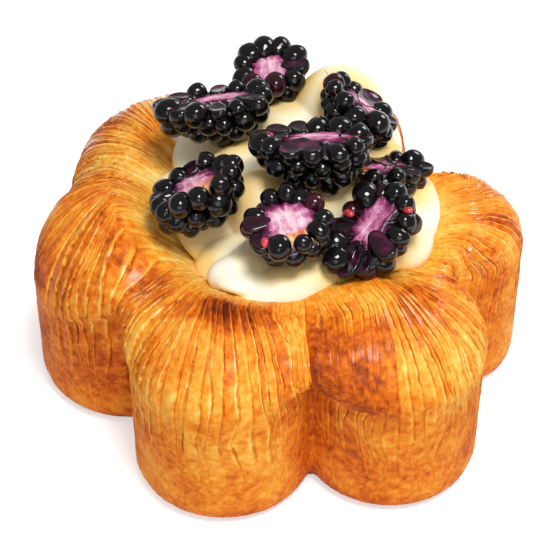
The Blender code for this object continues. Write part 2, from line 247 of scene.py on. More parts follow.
# ==== plan of the flower
def around(azimuth, field):
    """Value of a lobe's field at any azimuth, eased from each lobe to the next."""
    result = np.zeros_like(azimuth)
    for index, lobe in enumerate(LOBES):
        following = LOBES[(index + 1) % len(LOBES)]
        span = (following.azimuth - lobe.azimuth) % 360.0
        along = (azimuth - lobe.azimuth) % 360.0
        here = along <= span
        share = 0.5 - 0.5 * np.cos(np.pi * along / span)
        value = getattr(lobe, field) * (1.0 - share) + getattr(following, field) * share
        result = np.where(here, value, result)
    return result


def notch_azimuth(index):
    lobe, following = LOBES[index], LOBES[(index + 1) % len(LOBES)]
    span = (following.azimuth - lobe.azimuth) % 360.0
    return lobe.azimuth + span * lobe.radius / (lobe.radius + following.radius)


NOTCH_AZIMUTHS = [notch_azimuth(index) for index in range(len(LOBES))]


def at_notches(azimuth, field, width=NOTCH_WIDTH):
    total = np.zeros_like(azimuth)
    for notch, middle in zip(NOTCHES, NOTCH_AZIMUTHS):
        total += getattr(notch, field) * np.exp(-(turn_between(azimuth, middle) / width) ** 2)
    return total


def notch_nearness(azimuth, width):
    """One at a notch, falling to nothing over a width in degrees."""
    away = np.min([np.abs(turn_between(azimuth, middle)) for middle in NOTCH_AZIMUTHS], axis=0)
    return np.exp(-(away / width) ** 2)


def crest_reach(azimuth):
    return around(azimuth, "crest_reach") * (1.0 - at_notches(azimuth, "crest_draw"))


def crest_height(azimuth):
    return around(azimuth, "crest_height") - at_notches(azimuth, "crest_dip")


def cream_reach(azimuth):
    return around(azimuth, "cream_reach") * (1.0 - at_notches(azimuth, "cream_draw"))


def flower_reach(azimuth):
    total = np.full_like(azimuth, math.exp(HUB / NOTCH_BLEND))
    for lobe in LOBES:
        delta = np.radians(turn_between(azimuth, lobe.azimuth))
        across = lobe.distance * np.sin(delta)
        reach = lobe.distance * np.cos(delta) + np.sqrt(np.maximum(lobe.radius ** 2 - across ** 2, 0.0))
        total += np.where(np.cos(delta) > 0.0, np.exp(reach / NOTCH_BLEND), 1.0)
    return NOTCH_BLEND * np.log(total)


def softened(loop, step, width):
    """Closed line averaged along its own length."""
    frequency = np.fft.fftfreq(len(loop), step)[:, None]
    fade = np.exp(-2.0 * (np.pi * frequency * width) ** 2)
    return np.real(np.fft.ifft(np.fft.fft(loop, axis=0) * fade, axis=0))


def gathered(azimuth):
    """Azimuth that a layer reaches at the crest: layers crowd towards one place on each lobe."""
    result = azimuth.copy()
    for index, lobe in enumerate(LOBES):
        start = NOTCH_AZIMUTHS[index - 1]
        span = (NOTCH_AZIMUTHS[index] - start) % 360.0
        along = ((azimuth - start) % 360.0) / span
        here = along < 1.0
        moved = along + lobe.pull * (lobe.gather - along) * 4.0 * along * (1.0 - along)
        result = np.where(here, start + span * moved, result)
    return result


# ==== crust
class Outline:
    """Closed lines of the flower, all read by distance along the wall."""

    def __init__(self):
        fine = 6000
        azimuth = np.arange(fine) * 360.0 / fine - 180.0
        rough = plan_direction(azimuth) * flower_reach(azimuth)[:, None]
        closed = np.vstack([rough, rough[:1]])
        lengths = np.concatenate([[0.0], np.cumsum(np.linalg.norm(np.diff(closed, axis=0), axis=1))])
        self.length = lengths[-1]
        self.along = self.length * np.arange(fine) / fine
        even = np.stack([np.interp(self.along, lengths, closed[:, axis]) for axis in (0, 1)], axis=1)
        step = self.length / fine
        wall = softened(even, step, 0.7)
        ledge = softened(even, step, 4.0)
        guide = softened(even, step, 11.0)
        azimuth = np.degrees(np.arctan2(guide[:, 0], -guide[:, 1]))
        reach = np.linalg.norm(wall, axis=1)
        bridge = at_notches(azimuth, "bridge", BRIDGE_WIDTH)
        bridge += np.maximum(np.linalg.norm(ledge, axis=1) - reach, 0.0)
        crest_azimuth = gathered(azimuth)
        tangent = np.roll(wall, -1, axis=0) - np.roll(wall, 1, axis=0)
        tangent /= np.linalg.norm(tangent, axis=1)[:, None]
        self.wall = wall
        self.foot = wall + np.stack([-tangent[:, 1], tangent[:, 0]], axis=1) * FOOT_ROUND
        self.shelf = wall * (1.0 + bridge / reach)[:, None]
        self.crest = plan_direction(crest_azimuth) * crest_reach(crest_azimuth)[:, None]
        self.inner = plan_direction(crest_azimuth) * RECESS_REACH
        self.height = crest_height(crest_azimuth)
        self.spring = around(azimuth, "wall") + at_notches(azimuth, "ledge", LEDGE_WIDTH)
        self.direction = plan_direction(azimuth)

    def read(self, line, place):
        """Value of one of the lines at distances along the wall."""
        if line.ndim == 1:
            return np.interp(place, self.along, line, period=self.length)
        both = [np.interp(place, self.along, line[:, axis], period=self.length) for axis in (0, 1)]
        return np.stack(both, axis=-1)


def crust_rows():
    """Each row of the skin as its part, its share of that part, and its distance up the profile."""
    rows = [("under", 0.35, -9.0), ("under", 1.0, -6.0)]
    rows += [("foot", angle / 90.0, -6.0 + angle / 15.0) for angle in (20.0, 40.0, 60.0)]
    rows += [("wall", row / WALL_ROWS, 26.0 * row / WALL_ROWS) for row in range(WALL_ROWS)]
    rows += [("dome", row / DOME_ROWS, 26.0 + 20.0 * row / DOME_ROWS) for row in range(DOME_ROWS + 1)]
    rows += [("recess", row / RECESS_ROWS, 46.0 + 22.0 * row / RECESS_ROWS)
             for row in range(1, RECESS_ROWS + 1)]
    return rows


def crust_point(outline, part, share, place):
    if part == "under":
        return np.column_stack([outline.read(outline.foot, place) * share, np.zeros(len(place))])
    wall = outline.read(outline.wall, place)
    if part == "foot":
        turn = share * math.pi / 2.0
        plan = wall + (outline.read(outline.foot, place) - wall) * (1.0 - math.sin(turn))
        return np.column_stack([plan, np.full(len(place), FOOT_ROUND * (1.0 - math.cos(turn)))])
    spring = outline.read(outline.spring, place)
    if part == "wall":
        return np.column_stack([wall, FOOT_ROUND + (spring - 0.5 - FOOT_ROUND) * share])
    crest, height = outline.read(outline.crest, place), outline.read(outline.height, place)
    if part == "dome":
        turn = share * math.pi / 2.0
        shelf = outline.read(outline.shelf, place)
        plan = shelf + (crest - shelf) * (1.0 - math.cos(turn))
        return np.column_stack([plan, spring + 0.3 + (height - spring - 0.3) * math.sin(turn)])
    drop = share * share * (3.0 - 2.0 * share)
    plan = crest + (outline.read(outline.inner, place) - crest) * share
    return np.column_stack([plan, height + (RECESS_FLOOR - height) * drop])


def grid_normals(grid):
    across = np.roll(grid, -1, axis=1) - np.roll(grid, 1, axis=1)
    up = np.gradient(grid, axis=0)
    normal = np.cross(across, up)
    return normal / np.maximum(np.linalg.norm(normal, axis=2, keepdims=True), 1e-9)


def layer_widths(length):
    """Widths of the baked layers round the wall, drifting between fine and coarse."""
    random = np.random.default_rng(11)
    count = int(length / LAYER_PITCH)
    drift = 1.0 + 0.35 * value_noise(np.arange(count) / 11.0, np.zeros(count), 2)
    widths = random.uniform(0.55, 1.45, count) * drift
    return widths * length / widths.sum(), random


def spot(azimuth, v, middle, level, wide, tall):
    """Soft spot on the skin, one at its middle."""
    return np.exp(-(turn_between(azimuth, middle) / wide) ** 2 - ((v - level) / tall) ** 2)


def spots(azimuth, v, places):
    return sum(amount * spot(azimuth, v, *where) for *where, amount in places)


def build_crust(surface):
    outline = Outline()
    length = outline.length
    widths, random = layer_widths(length)
    layers = len(widths)
    borders = np.concatenate([[0.0], np.cumsum(widths)])
    share = np.tile(LAYER_COLUMNS, layers)
    layer = np.repeat(np.arange(layers), len(LAYER_COLUMNS))
    phase = layer + share
    u = borders[layer] + share * widths[layer]
    rows = crust_rows()
    levels = np.array([level for _, _, level in rows])
    columns = len(u)
    shape = (len(rows), columns)
    v = np.broadcast_to(levels[:, None], shape)
    uu = np.broadcast_to(u[None, :], shape)

    # the layers waver as they climb
    cells = int(length / 7.0)
    wander = 1.15 * value_noise(uu / (length / cells), v / 10.0, 3, cells)
    wander += 0.42 * value_noise(uu / (length / (cells * 3)), v / 4.5, 4, cells * 3)
    wander *= smooth_step(-4.0, 6.0, v)
    grid = np.array([crust_point(outline, part, portion, (uu + wander)[index])
                     for index, (part, portion, _) in enumerate(rows)])
    facing = outline.read(outline.direction, u)
    azimuth = np.broadcast_to(np.degrees(np.arctan2(facing[:, 0], -facing[:, 1]))[None, :], shape)
    height = grid[:, :, 2]
    on_wall = 1.0 - smooth_step(22.0, 28.0, v)
    on_dome = smooth_step(24.0, 30.0, v) * (1.0 - smooth_step(44.0, 52.0, v))
    in_recess = smooth_step(44.0, 52.0, v)

    # each layer is a slab leaning on the next, with a gap between them
    lean = np.where(value_noise(np.arange(layers) / 17.0, np.zeros(layers), 6) > -0.15, 1.0, -1.0)
    strength = random.uniform(0.45, 1.0, layers)
    lively = 0.75 + 0.5 * value_noise(layer * 3.7 + 0.0 * v, v / 6.0, 5)
    slab = (share - 0.5) * lean[layer]
    gap = (share == 0.0).astype(float)
    notch_line = notch_nearness(azimuth, 4.0)
    amount = strength[layer] * np.clip(lively, 0.2, 1.3) * (1.0 - 0.6 * notch_line * on_wall)
    climb = smooth_step(2.0, 24.0, v)
    slab_depth = (0.06 + LAYER_RELIEF_WALL * climb) * on_wall + LAYER_RELIEF_DOME * on_dome + 0.14 * in_recess
    open_gap = smooth_step(0.10, 0.70, value_noise(layer * 1.9 + 0.0 * v, v / 5.0, 15))
    gap_depth = 0.20 * climb * (0.10 + 1.8 * open_gap) * on_wall + 0.52 * on_dome + 0.14 * in_recess
    wider = np.clip(widths[layer] / LAYER_PITCH, 0.5, 1.6)
    above_ground = smooth_step(-6.0, 0.0, v)
    offset = amount * wider * (slab * slab_depth * 1.3 - gap * gap_depth) * above_ground
    proud = random.uniform(-1.0, 1.0, layers)[layer]
    rounding = 1.0 - (2.0 * share - 1.0) ** 4
    stepped = 0.25 * climb * on_wall + on_dome + 0.4 * in_recess
    offset += LAYER_STEP * proud * rounding * stepped * above_ground

    # broad unevenness of the dough
    broad = value_noise(uu / (length / 40), v / 9.0, 7, 40)
    broad = broad + 0.6 * value_noise(uu / (length / 110), v / 4.5, 8, 110)
    offset += 0.30 * broad * above_ground * (0.4 + 0.6 * on_dome)
    grain = value_noise(uu / (length / 900), v / 0.9, 17, 900)
    offset += 0.08 * grain * on_wall * above_ground

    # the upper layers end in tongues that stand over the moulded wall
    tongues = random.uniform(-1.0, 1.0, layers)
    tongues = 0.55 * tongues + 0.6 * np.roll(tongues, 1) + 0.4 * np.roll(tongues, 3)
    edge = outline.read(outline.spring, u) + 0.2 + LIP_RAGGED * tongues[layer]
    lip = spots(azimuth, v * 0.0, LIPS) + 0.04
    over = smooth_step(-0.35, 0.35, height - edge) * (1.0 - smooth_step(30.0, 40.0, v))
    offset += over * np.clip(lip, 0.0, 1.6) * LIP_RELIEF

    # the folded flap beside the front notch
    flap = smooth_step(FLAP_START - 0.4, FLAP_START + 0.4, azimuth)
    flap = flap * (1.0 - smooth_step(FLAP_END - 0.3, FLAP_END + 0.3, azimuth))
    flap = flap * smooth_step(-0.4, 0.4, height - (FLAP_FOOT - FLAP_SLOPE * (azimuth - FLAP_START)))
    flap = flap * (1.0 - smooth_step(40.0, 46.0, v))
    offset = offset * (1.0 - 0.8 * flap) + flap * FLAP_RELIEF

    # the curled, blistered crest at the front left
    curl = spot(azimuth, v, *CURL)
    blister = value_noise(uu / (length / 190), v / 1.8, 12, 190)
    offset += curl * (0.75 + 0.65 * blister)

    # a second fold laps behind the crest at the front right
    beside = turn_between(azimuth, FOLD_AZIMUTH) / FOLD_WIDE
    fold = np.exp(-beside ** 4 - ((v - FOLD_LEVEL) / FOLD_TALL) ** 2)
    offset = offset * (1.0 - 0.8 * fold) + FOLD_RELIEF * fold

    skin = grid + grid_normals(grid) * offset[:, :, None]
    skin[:2, :, 2] = 0.0
    skin[:, :, 2] = np.maximum(skin[:, :, 2], 0.0)
    count = len(rows) * columns
    vertices = np.vstack([skin.reshape(-1, 3), [[0.0, 0.0, 0.0], [0.0, 0.0, RECESS_FLOOR]]])
    j, k = ring(columns)
    quads = np.vstack([band(row * columns, (row + 1) * columns, j, k) for row in range(len(rows) - 1)])
    top = (len(rows) - 1) * columns
    faces = quads.tolist()
    faces += fan(k, j, count).tolist()
    faces += fan(top + j, top + k, count + 1).tolist()
    made = mesh_from_arrays("crust", vertices, faces, [surface])

    # the layer each place belongs to and its distance up the profile, for the crust's material
    layer_map = made.data.uv_layers.new(name="layers")
    corner = np.empty(len(made.data.loops), dtype=np.int64)
    made.data.loops.foreach_get("vertex_index", corner)
    safe = np.minimum(corner, count - 1)
    coordinates = np.column_stack([np.tile(phase, len(rows))[safe], v.reshape(-1)[safe]])
    quad_phase = coordinates[:len(quads) * 4, 0].reshape(-1, 4)
    wraps = (quad_phase.max(axis=1) - quad_phase.min(axis=1) > 0.5 * layers)[:, None]
    quad_phase[:] = np.where(wraps & (quad_phase < 0.5 * layers), quad_phase + layers, quad_phase)
    layer_map.data.foreach_set("uv", (coordinates / 100.0).astype(np.float32).ravel())

    patches = value_noise(uu / (length / 26), v / 7.0, 14, 26)
    glaze = smooth_step(28.0, 36.0, v) * (1.0 - 0.45 * in_recess) * (0.8 + 0.4 * patches) * (1.0 - 0.6 * flap)
    brown_and_shade = 0.30 * (1.0 - smooth_step(-5.0, 2.0, v)) + 0.10 * patches * (on_dome + 0.4 * on_wall)
    brown_and_shade += (0.02 * on_dome + 0.09 * on_wall * smooth_step(2.0, 8.0, v) + spots(azimuth, v, BROWNED_AND_SHADED)
              + FLAP_BROWN * flap)
    # painted shade: the walls darken towards the notches; the fold behind the front right crest is browner
    brown_and_shade += 0.12 * notch_line * on_wall + 0.22 * fold
    pale = 0.60 * smooth_step(45.0, 55.0, v) + spots(azimuth, v, PALED) * (1.0 - flap)
    lines = (0.45 + 0.65 * open_gap) * climb ** 1.3 * on_wall + 0.85 * on_dome + 0.35 * in_recess
    lines = lines * (1.0 - 0.85 * flap) * (1.0 - 0.5 * notch_line * on_wall) * (1.0 - 0.7 * fold)
    zones = np.stack([glaze, brown_and_shade, pale, lines], axis=-1).reshape(-1, 4)
    zones = np.vstack([zones, [[0.0, 0.2, 0.0, 0.0], [0.5, 0.0, 0.8, 0.0]]])
    paint(made.data, "zones", np.clip(zones, 0.0, 1.0))
    return made


# ==== berries
def unit_sphere(columns, rows):
    vertices = [(0.0, 0.0, 1.0)]
    for row in range(1, rows):
        polar = math.pi * row / rows
        for column in range(columns):
            turn = 2.0 * math.pi * column / columns
            wide = math.sin(polar)
            vertices.append((wide * math.cos(turn), wide * math.sin(turn), math.cos(polar)))
    vertices.append((0.0, 0.0, -1.0))
    faces = []
    last = len(vertices) - 1
    for column in range(columns):
        following = (column + 1) % columns
        faces.append((0, 1 + column, 1 + following))
        for row in range(rows - 2):
            low, high = 1 + row * columns, 1 + (row + 1) * columns
            faces.append((low + column, high + column, high + following))
            faces.append((low + column, high + following, low + following))
        bottom = 1 + (rows - 2) * columns
        faces.append((last, bottom + following, bottom + column))
    return np.array(vertices), np.array(faces)


SPHERE = unit_sphere(26, 16)
SMALL_SPHERE = unit_sphere(14, 8)


def berry_axes(berry):
    up = np.array(berry.up) / np.linalg.norm(berry.up)
    stem = np.array(berry.stem) - up * np.dot(berry.stem, up)
    stem /= np.linalg.norm(stem)
    return np.stack([stem, np.cross(up, stem), up])


def tip_scale(along):
    """Share of the full width left at a place between the tip (-1) and the stem (1)."""
    return 1.0 - TIP_TAPER * np.clip(0.35 - along, 0.0, 1.35) / 1.35


def drupelet_places(berry, random):
    """Middles, sizes and rings of a berry half's drupelets, in its own axes, from the cut down."""
    places = []
    ring = 0
    dip = 0.06
    while dip < 1.45:
        inset = DRUPELET * 0.90
        wide = math.cos(dip)
        length, width = (berry.half_length - inset) * wide, (berry.half_width - inset) * wide
        mean = math.sqrt((3.0 * length + width) * (length + 3.0 * width))
        girth = math.pi * (3.0 * (length + width) - mean)
        count = max(1, int(round(girth / (DRUPELET * 1.66))))
        for index in range(count):
            turn = 2.0 * math.pi * (index + 0.5 * (ring % 2) + random.uniform(-0.22, 0.22)) / count
            radius = DRUPELET * random.uniform(0.82, 1.20)
            wobble = random.uniform(-0.35, 0.25)
            sink = (berry.depth - inset) * math.sin(dip + random.uniform(-0.07, 0.07))
            middle = np.array([(length + wobble) * math.cos(turn), (width + wobble) * math.sin(turn), -sink])
            middle[1:] *= tip_scale(middle[0] / berry.half_length)
            places.append((middle, radius, ring))
        ring += 1
        dip += DRUPELET * 1.55 / (0.5 * (berry.depth + 0.5 * (length + width)))
    places.append((np.array([0.0, 0.0, -(berry.depth - DRUPELET)]), DRUPELET, ring))
    return places


def cut_face(berry, random, rim_count):
    """The cut through a berry: a soft core with opened drupelets fanned round it."""
    columns, rows = 168, 30
    turn = 2.0 * np.pi * np.arange(columns) / columns
    share = np.linspace(0.0, 1.0, rows + 1)[1:]
    turn, share = np.meshgrid(turn, share)
    seed = int(random.integers(1, 900))
    wobble = 0.30 * value_noise(turn * 6.0 / math.pi, share * 3.0, seed, 12)
    cell = np.abs(np.sin(turn * rim_count / 2.0 + wobble))
    scallop = 1.0 - 0.16 * (1.0 - cell) ** 2
    length, width = berry.half_length - 0.35 * DRUPELET, berry.half_width - 0.35 * DRUPELET
    x = np.cos(turn) * length * share * (1.0 - share * (1.0 - scallop))
    y = np.sin(turn) * width * share * (1.0 - share * (1.0 - scallop))
    y = y * tip_scale(x / berry.half_length)
    shift = 0.14 * berry.half_length
    along = (x - shift) / (berry.half_length * berry.core_length)
    beside = y / (berry.half_width * berry.core_width * (1.0 + 0.22 * x / berry.half_length))
    inside = np.sqrt(along ** 2 + beside ** 2)
    inside += 0.16 * value_noise(turn * 10.0 / math.pi, share * 3.0, seed + 2, 20) - 0.10 * (1.0 - cell)
    core = 1.0 - smooth_step(0.75, 1.15, inside)
    opened = (1.0 - core) * smooth_step(0.0, 0.25, share)
    z = core * (0.50 - 0.30 * along ** 2)
    z += opened * (0.10 - 0.75 * cell ** 0.7 * (1.0 - 0.4 * share))
    z += (0.10 * value_noise(x / 1.4, y / 0.6, seed + 1) * core
          + 0.22 * opened * value_noise(turn * 30.0 / math.pi, share * 6.0, seed + 4, 60))
    stem = smooth_step(1.0 - 2.0 * berry.stem_end, 1.15 - 1.6 * berry.stem_end, along)
    stem = stem * (1.0 - smooth_step(0.9, 1.2, inside))
    z -= 1.1 * stem * (berry.stem_end > 0.4)
    z -= 1.1 * smooth_step(0.84, 1.0, share)
    vertices = np.vstack([np.stack([x, y, z], axis=-1).reshape(-1, 3), [[0.0, 0.0, 0.45]]])
    j, k = ring(columns)
    faces = np.column_stack([np.full(columns, len(vertices) - 1), j, k]).tolist()
    for row in range(rows - 1):
        low, high = row * columns, (row + 1) * columns
        faces += np.column_stack([low + j, high + j, high + k]).tolist()
        faces += np.column_stack([low + j, high + k, low + k]).tolist()
    flesh = np.stack([np.clip(inside / 2.0, 0.0, 1.0), stem, np.full_like(core, berry.pale)], axis=-1)
    flesh = np.vstack([flesh.reshape(-1, 3), [[0.1, 0.0, berry.pale]]])
    return vertices, np.array(faces), flesh


def build_berry(berry, index, surfaces):
    random = np.random.default_rng(100 + index)
    axes = berry_axes(berry)
    vertices, faces, slots, marks = [], [], [], []
    total = 0

    def add(points, triangles, slot, mark):
        nonlocal total
        vertices.append(points)
        faces.append(triangles + total)
        slots.append(np.full(len(triangles), slot))
        marks.append(mark)
        total += len(points)

    places = drupelet_places(berry, random)
    rim_count = sum(1 for _, _, ring in places if ring == 0)
    for middle, radius, ring in places:
        points, triangles = SPHERE
        outward = middle / np.array([berry.half_length, berry.half_width, berry.depth]) ** 2
        outward = outward / max(np.linalg.norm(outward), 1e-6)
        stretch = random.uniform(0.95, 1.25)
        shape = points * radius
        shape = shape + np.outer(shape @ outward, outward) * (stretch - 1.0)
        dents = value_noise(points[:, :1] * 1.3 + middle[0], points[:, 1:2] * 1.3 + points[:, 2:], 31)
        shape *= 1.0 + 0.06 * dents
        sliced = ring == 0 and random.uniform() < SLICED_SHARE
        lift = random.uniform(-0.6, 0.4) if ring == 0 else 0.0
        if sliced:
            inwards = -middle * np.array([1.0, 1.0, 0.0]) / np.linalg.norm(middle[:2])
            shape = shape + np.outer(np.maximum(shape @ inwards, 0.0), inwards) * 0.9
        shape = shape + middle + np.array([0.0, 0.0, lift])
        tone = random.uniform(0.0, 1.0)
        marks_here = np.tile([tone, 0.0, 0.0], (len(points), 1))
        if sliced:
            level = random.uniform(0.3, 0.9)
            above = np.maximum(shape[:, 2] - level, 0.0)
            shape[:, 2] = np.minimum(shape[:, 2], level) - 0.28 * above
            marks_here[:, 1] = smooth_step(0.0, 0.5, above)
        add(shape, triangles, 0, marks_here)

    points, triangles, flesh = cut_face(berry, random, rim_count)
    add(points, triangles, 1, flesh)

    for along, beside in berry.seeds:
        points, triangles = SMALL_SPHERE
        spin = random.uniform(0.0, math.pi)
        shape = points * np.array(SEED_SIZE)
        turned = np.column_stack([
            shape[:, 0] * math.cos(spin) - shape[:, 1] * math.sin(spin),
            shape[:, 0] * math.sin(spin) + shape[:, 1] * math.cos(spin), shape[:, 2]])
        middle = np.array([along * berry.half_length, beside * berry.half_width, 0.45])
        add(turned + middle, triangles, 2, np.tile([0.0, 0.0, 1.0], (len(points), 1)))

    # a few dried styles
    for _ in range(STYLES):
        middle, radius, _ = places[int(random.integers(0, len(places)))]
        outward = middle / np.linalg.norm(middle)
        side = np.cross(outward, random.normal(size=3))
        side /= np.linalg.norm(side)
        base = middle + outward * radius * 0.9 + side * radius * 0.4
        path = [base + outward * 1.1 * t + side * (0.9 * t * t + 0.4 * t) for t in np.linspace(0.0, 0.9, 7)]
        tube, ends = [], []
        for step, point in enumerate(path):
            thin = STYLE_RADIUS * (1.0 - 0.5 * step / 6.0)
            across = np.cross(side, outward)
            for corner in range(4):
                angle = math.pi * corner / 2.0
                tube.append(point + (across * math.cos(angle) + side * math.sin(angle)) * thin)
        for step in range(6):
            for corner in range(4):
                a, b = step * 4 + corner, step * 4 + (corner + 1) % 4
                ends.append((a, b, b + 4))
                ends.append((a, b + 4, a + 4))
        ends += [(0, 2, 1), (0, 3, 2), (24, 25, 26), (24, 26, 27)]
        add(np.array(tube), np.array(ends), 3, np.tile([0.0, 0.0, 0.0], (len(tube), 1)))

    own = np.vstack(vertices)
    placed = own @ axes + np.array(berry.centre)
    made = mesh_from_arrays(berry.name, placed, np.vstack(faces), surfaces)
    made.data.polygons.foreach_set("material_index", np.concatenate(slots).astype(np.int32))
    paint(made.data, "marks", np.vstack(marks))
    grain = made.data.attributes.new("grain", "FLOAT_VECTOR", "POINT")
    grain.data.foreach_set("vector", (own / 10.0).astype(np.float32).ravel())
    return made


# ==== cream
def cream_base():
    """Closed slab that fills the recess out to the cream's edge."""
    columns = 180
    azimuth = np.arange(columns) * 360.0 / columns - 180.0
    direction = plan_direction(azimuth)
    reach = cream_reach(azimuth) + 0.5 * value_noise(azimuth / 12.0, azimuth * 0.0, 41, 30)
    crest, top = crest_reach(azimuth), crest_height(azimuth)
    share = np.clip((crest - reach) / (crest - RECESS_REACH), 0.0, 1.0)
    seat = top + (RECESS_FLOOR - top) * share * share * (3.0 - 2.0 * share)
    rows = []
    for inset, rise in CREAM_EDGE:
        plan = direction * (reach - inset)[:, None]
        rows.append(np.column_stack([plan, seat + rise]))
    vertices = np.vstack(rows + [np.array([[0.0, 0.0, 33.0], [0.0, 0.0, 43.0]])])
    faces = []
    j, k = ring(columns)
    for row in range(len(rows) - 1):
        faces += band(row * columns, (row + 1) * columns, j, k).tolist()
    first, last = len(vertices) - 2, len(vertices) - 1
    faces += fan(k, j, first).tolist()
    top = (len(rows) - 1) * columns
    faces += fan(top + j, top + k, last).tolist()
    return vertices, faces


def blob_mesh(blob):
    points, triangles = unit_sphere(40, 24)
    shape = points * np.array([blob.long, blob.short, blob.tall])
    lean = math.radians(blob.lean)
    x = shape[:, 0] * math.cos(lean) - shape[:, 2] * math.sin(lean)
    z = shape[:, 0] * math.sin(lean) + shape[:, 2] * math.cos(lean)
    turn = math.radians(blob.turn)
    placed = np.column_stack([
        x * math.cos(turn) - shape[:, 1] * math.sin(turn) + blob.x,
        x * math.sin(turn) + shape[:, 1] * math.cos(turn) + blob.y, z + blob.z])
    return placed, triangles


def build_cream(surface):
    vertices, faces = cream_base()
    vertices = [vertices]
    total = len(vertices[0])
    for blob in CREAM_BLOBS:
        points, triangles = blob_mesh(blob)
        vertices.append(points)
        faces += (triangles + total).tolist()
        total += len(points)
    rough = mesh_from_arrays("cream_rough", np.vstack(vertices), faces, [surface])
    remesh = rough.modifiers.new("remesh", "REMESH")
    remesh.mode = "VOXEL"
    remesh.voxel_size = CREAM_VOXEL * MM
    soften = rough.modifiers.new("soften", "SMOOTH")
    soften.factor = 0.5
    soften.iterations = CREAM_SOFTENING
    evaluated = rough.evaluated_get(bpy.context.evaluated_depsgraph_get())
    mesh = bpy.data.meshes.new_from_object(evaluated)
    bpy.data.objects.remove(rough, do_unlink=True)
    mesh.name = "cream_visual"
    made = linked("cream_visual", mesh)
    mesh.polygons.foreach_set("use_smooth", np.ones(len(mesh.polygons), dtype=bool))
    count = len(mesh.vertices)
    place = np.empty(count * 3)
    mesh.vertices.foreach_get("co", place)
    place = place.reshape(-1, 3) / MM

    # painted shade: golden colour for the cream from its closeness to the berries and to the crust, and from
    # how low it lies
    shade_near_berry = np.zeros(count)
    for berry in BERRIES:
        own = (place - np.array(berry.centre)) @ berry_axes(berry).T
        sizes = np.array([berry.half_length, berry.half_width, berry.depth])
        away = (np.linalg.norm(own / sizes, axis=1) - 1.0) * sizes.min()
        shade_near_berry = np.maximum(shade_near_berry, 1.0 - smooth_step(0.2, 6.5, away))
    azimuth = np.degrees(np.arctan2(place[:, 0], -place[:, 1]))
    radius = np.hypot(place[:, 0], place[:, 1])
    # painted shade: golden where the cream meets the crust, only below 42 mm
    shade_near_crust = 1.0 - smooth_step(0.0, 3.0, cream_reach(azimuth) - radius)
    shade_near_crust *= 1.0 - smooth_step(39.5, 42.0, place[:, 2])
    # painted shade: golden where the cream lies low in the recess
    low = 1.0 - smooth_step(38.5, 42.0, place[:, 2])
    paint(mesh, "marks", np.stack([shade_near_berry, shade_near_crust, low], axis=-1))
    return made


# ==== materials
class Nodes:
    """Short way to write a material's nodes."""

    def __init__(self, name):
        self.material = bpy.data.materials.new(name)
        self.material.use_nodes = True
        self.tree = self.material.node_tree
        self.shader = self.tree.nodes["Principled BSDF"]

    def add(self, kind, **settings):
        node = self.tree.nodes.new(kind)
        for key, value in settings.items():
            setattr(node, key, value)
        return node

    def link(self, source, target):
        self.tree.links.new(source, target)

    def put(self, socket, value):
        if isinstance(value, bpy.types.NodeSocket):
            self.link(value, socket)
        else:
            socket.default_value = value

    def math(self, operation, first, second=0.0, clamp=False):
        node = self.add("ShaderNodeMath", operation=operation, use_clamp=clamp)
        self.put(node.inputs[0], first)
        self.put(node.inputs[1], second)
        return node.outputs[0]

    def set(self, name, value):
        """Value or link for one of the shader's own inputs."""
        self.put(self.shader.inputs[name], value)

    def subsurface(self, weight, radius, scale):
        self.set("Subsurface Weight", weight)
        self.set("Subsurface Radius", radius)
        self.set("Subsurface Scale", scale)

    def place(self):
        return self.add("ShaderNodeTexCoord").outputs["Object"]

    def plus(self, first, second, clamp=False):
        return self.math("ADD", first, second, clamp)

    def times(self, first, second):
        return self.math("MULTIPLY", first, second)

    def mix(self, share, first, second):
        node = self.add("ShaderNodeMix", data_type="RGBA")
        self.put(node.inputs["Factor"], share)
        self.put(node.inputs[6], first)
        self.put(node.inputs[7], second)
        return node.outputs[2]

    def ramp(self, value, stops):
        node = self.add("ShaderNodeValToRGB")
        while len(node.color_ramp.elements) < len(stops):
            node.color_ramp.elements.new(0.5)
        for element, (place, colour) in zip(node.color_ramp.elements, stops):
            element.position = place
            element.color = colour
        self.put(node.inputs[0], value)
        return node.outputs[0]

    def between(self, value, low, high, start=0.0, end=1.0):
        node = self.add("ShaderNodeMapRange")
        self.put(node.inputs[0], value)
        for socket, number in zip(node.inputs[1:5], (low, high, start, end)):
            socket.default_value = number
        return node.outputs[0]

    def noise(self, vector, scale, detail=3.0, roughness=0.5):
        node = self.add("ShaderNodeTexNoise")
        self.put(node.inputs["Vector"], vector)
        node.inputs["Scale"].default_value = scale
        node.inputs["Detail"].default_value = detail
        node.inputs["Roughness"].default_value = roughness
        return node.outputs[0]

    def scaled(self, vector, factors):
        node = self.add("ShaderNodeVectorMath", operation="MULTIPLY")
        self.put(node.inputs[0], vector)
        node.inputs[1].default_value = factors
        return node.outputs[0]

    def bump(self, height, distance, strength):
        node = self.add("ShaderNodeBump")
        node.inputs["Strength"].default_value = strength
        node.inputs["Distance"].default_value = distance
        self.put(node.inputs["Height"], height)
        return node.outputs[0]

    def channels(self, attribute):
        node = self.add("ShaderNodeAttribute", attribute_name=attribute)
        split = self.add("ShaderNodeSeparateColor")
        self.link(node.outputs["Color"], split.inputs[0])
        return split.outputs[0], split.outputs[1], split.outputs[2], node.outputs["Alpha"]


def srgb(red, green, blue):
    """Colour written as screen values from 0 to 255."""
    def straight(value):
        value /= 255.0
        return value / 12.92 if value <= 0.04045 else ((value + 0.055) / 1.055) ** 2.4
    return (straight(red), straight(green), straight(blue), 1.0)


